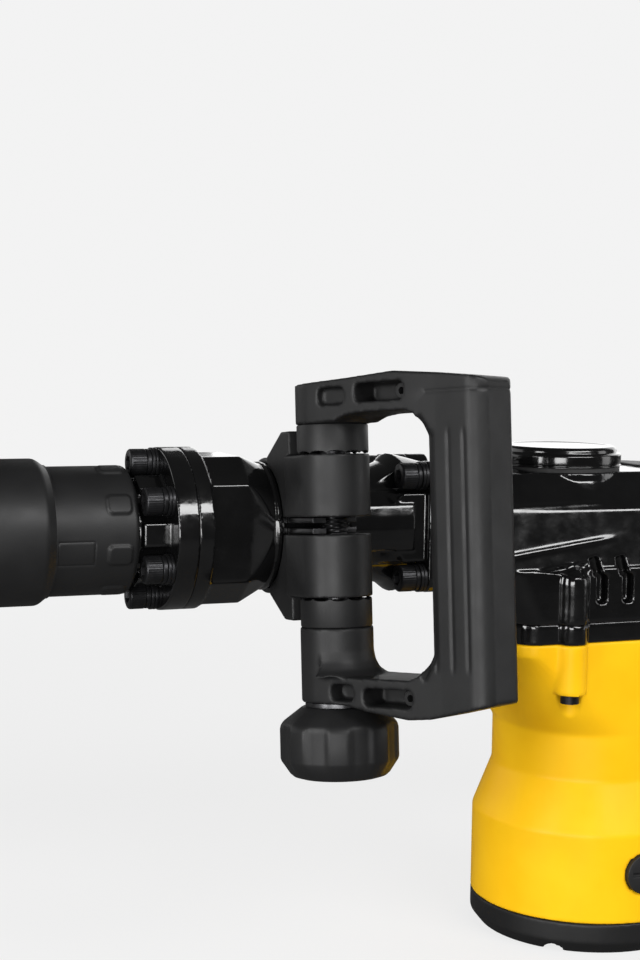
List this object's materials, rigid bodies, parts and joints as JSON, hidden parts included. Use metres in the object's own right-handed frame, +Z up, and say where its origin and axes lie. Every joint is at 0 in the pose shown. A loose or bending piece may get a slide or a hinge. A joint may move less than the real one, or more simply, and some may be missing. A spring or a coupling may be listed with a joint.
{
  "type": "demolition hammer",
  "caption": "Electric demolition hammer with a chisel holder, crank-driven striker, upright motor, rear handle and a swivelling D side handle.",
  "frame": {"origin": "centre of the mouth of the tool bore, on the hammer axis", "axes": "-X out of the tool bore along the hammer axis, +X back to the rear handle, +Z up, -Y the side that the side handle is on"},
  "size_m": [0.5602, 0.2091, 0.2891],
  "materials": {
    "black_enamel": "gloss black enamel on cast metal",
    "black_oxide_steel": "black oxide",
    "bronze": "machined",
    "black_rubber": "matt",
    "ground_steel": "ground",
    "yellow_plastic": "fine moulded texture",
    "copper": "copper",
    "black_plastic": "moulded",
    "dark_grey_plastic": "fine moulded texture",
    "machined_aluminium": "machined",
    "carbon_brush": "carbon",
    "red_plastic": "moulded"
  },
  "bodies": {
    "housing": {"front_flange": "black_enamel", "m8_cap_screws": "black_oxide_steel", "m8_washers": "black_oxide_steel", "front_bush": "bronze", "oil_seal": "black_rubber", "barrel_housing": "black_enamel", "cylinder_liner": "ground_steel", "damper_ring": "black_rubber", "gear_housing": "black_enamel", "crank_cover": "black_enamel", "crank_cover_seal": "black_rubber", "crank_bearings": "ground_steel", "intermediate_bearings": "ground_steel", "armature_bearings": "ground_steel", "bearing_plate": "black_enamel", "motor_housing": "yellow_plastic", "m5_screws": "black_oxide_steel", "stator_core": "ground_steel", "field_coils": "copper", "brush_holders": "bronze", "brush_caps": "black_plastic", "end_cover": "dark_grey_plastic", "rear_handle_left": "dark_grey_plastic", "rear_handle_right": "dark_grey_plastic", "rear_grip_cover": "black_rubber", "switch_module": "black_plastic", "cord_gland": "black_rubber"},
    "tool_holder": {"tool_holder": "black_oxide_steel", "dust_cap": "black_rubber", "release_spring": "ground_steel"},
    "release_sleeve": {"release_collar": "dark_grey_plastic", "lock_ring": "ground_steel"},
    "lock_roller_top": {"lock_roller_top": "ground_steel"},
    "lock_roller_bottom": {"lock_roller_bottom": "ground_steel"},
    "change_ring": {"change_ring": "dark_grey_plastic"},
    "beat_piece": {"beat_piece": "ground_steel"},
    "striker": {"striker": "ground_steel"},
    "piston": {"piston": "machined_aluminium", "wrist_pin": "ground_steel"},
    "conrod": {"conrod": "machined_aluminium", "crank_pin": "ground_steel"},
    "crank": {"crankshaft": "ground_steel", "crank_gear": "ground_steel"},
    "intermediate": {"intermediate_gear": "ground_steel"},
    "armature": {"armature_shaft": "ground_steel", "armature_core": "ground_steel", "commutator": "copper", "fan": "black_plastic"},
    "brush_left": {"brush_left": "carbon_brush"},
    "brush_right": {"brush_right": "carbon_brush"},
    "trigger": {"trigger": "red_plastic"},
    "lock_button": {"lock_button": "red_plastic"},
    "speed_dial": {"speed_dial": "black_plastic"},
    "clamp": {"clamp_jaws": "dark_grey_plastic", "clamp_band": "ground_steel", "clamp_bolt": "ground_steel"},
    "side_handle": {"side_handle": "dark_grey_plastic", "index_rings": "dark_grey_plastic"},
    "knob_washer": {"knob_washer": "ground_steel"},
    "clamp_knob": {"clamp_knob": "dark_grey_plastic"}
  },
  "joints": [
    {"name": "tool_turn", "type": "hinge", "parent": "housing", "child": "tool_holder", "pos_m": [0.1, 0, 0], "axis": [1, 0, 0], "continuous": true},
    {"name": "release_slide", "type": "slide", "parent": "tool_holder", "child": "release_sleeve", "axis": [1, 0, 0], "range_m": [0, 0.008], "stiffness_N_per_m": 1500, "springref_m": -0.006, "deforming": ["release_spring"]},
    {"name": "lock_roller_top_slide", "type": "slide", "parent": "tool_holder", "child": "lock_roller_top", "axis": [0, 0, 1], "range_m": [0, 0.002]},
    {"name": "lock_roller_bottom_slide", "type": "slide", "parent": "tool_holder", "child": "lock_roller_bottom", "axis": [0, 0, -1], "range_m": [0, 0.002]},
    {"name": "change_ring_slide", "type": "slide", "parent": "tool_holder", "child": "change_ring", "axis": [-1, 0, 0], "range_m": [0, 0.005], "stiffness_N_per_m": 900, "springref_m": -0.004},
    {"name": "beat_piece_slide", "type": "slide", "parent": "tool_holder", "child": "beat_piece", "axis": [1, 0, 0], "range_m": [0, 0.008]},
    {"name": "striker_slide", "type": "slide", "parent": "housing", "child": "striker", "axis": [1, 0, 0], "range_m": [0, 0.026]},
    {"name": "piston_slide", "type": "slide", "parent": "housing", "child": "piston", "axis": [-1, 0, 0], "range_m": [0, 0.04]},
    {"name": "conrod_swing", "type": "hinge", "parent": "piston", "child": "conrod", "pos_m": [0.258, 0, 0], "axis": [0, 0, 1], "range_deg": [-13.1, 13.1]},
    {"name": "armature_spin", "type": "hinge", "parent": "housing", "child": "armature", "pos_m": [0.347, 0, -0.1], "axis": [0, 0, 1], "continuous": true},
    {"name": "intermediate_spin", "type": "hinge", "parent": "housing", "child": "intermediate", "pos_m": [0.3725, 0, -0.06], "axis": [0, 0, 1], "continuous": true},
    {"name": "crank_spin", "type": "hinge", "parent": "housing", "child": "crank", "pos_m": [0.326, 0, -0.03], "axis": [0, 0, 1], "continuous": true},
    {"name": "brush_left_slide", "type": "slide", "parent": "housing", "child": "brush_left", "axis": [0, -1, 0], "range_m": [0, 0.005], "stiffness_N_per_m": 250, "springref_m": -0.012},
    {"name": "brush_right_slide", "type": "slide", "parent": "housing", "child": "brush_right", "axis": [0, 1, 0], "range_m": [0, 0.005], "stiffness_N_per_m": 250, "springref_m": -0.012},
    {"name": "trigger_pull", "type": "hinge", "parent": "housing", "child": "trigger", "pos_m": [0.527, 0, -0.03], "axis": [0, -1, 0], "range_deg": [0, 9], "stiffness_Nm_per_rad": 0.8, "springref_deg": -11.46},
    {"name": "lock_button_press", "type": "slide", "parent": "housing", "child": "lock_button", "axis": [0, 1, 0], "range_m": [0, 0.004], "stiffness_N_per_m": 300, "springref_m": -0.003},
    {"name": "speed_dial_turn", "type": "hinge", "parent": "housing", "child": "speed_dial", "pos_m": [0.48, 0, 0.0185], "axis": [0, 1, 0], "range_deg": [0, 240]},
    {"name": "clamp_turn", "type": "hinge", "parent": "housing", "child": "clamp", "pos_m": [0.1806, 0, 0], "axis": [1, 0, 0], "continuous": true},
    {"name": "handle_swing", "type": "hinge", "parent": "clamp", "child": "side_handle", "pos_m": [0.1806, -0.05619, 0.00591], "axis": [0, 0.1045, 0.9945], "range_deg": [-90, 30]},
    {"name": "knob_travel", "type": "slide", "parent": "clamp", "child": "knob_washer", "axis": [0, -0.1045, -0.9945], "range_m": [0, 0.006]},
    {"name": "knob_turn", "type": "hinge", "parent": "knob_washer", "child": "clamp_knob", "pos_m": [0.1806, -0.06612, -0.08857], "axis": [0, -0.1045, -0.9945], "range_deg": [0, 1440]}
  ],
  "couplings": [
    {"joint": "lock_roller_top_slide", "follows": "release_slide", "ratio": 0.25},
    {"joint": "lock_roller_bottom_slide", "follows": "release_slide", "ratio": 0.25},
    {"joint": "intermediate_spin", "follows": "armature_spin", "ratio": -0.41667},
    {"joint": "crank_spin", "follows": "armature_spin", "ratio": 0.1},
    {"joint": "knob_travel", "follows": "knob_turn", "m_per_rad": 0.0002387}
  ]
}
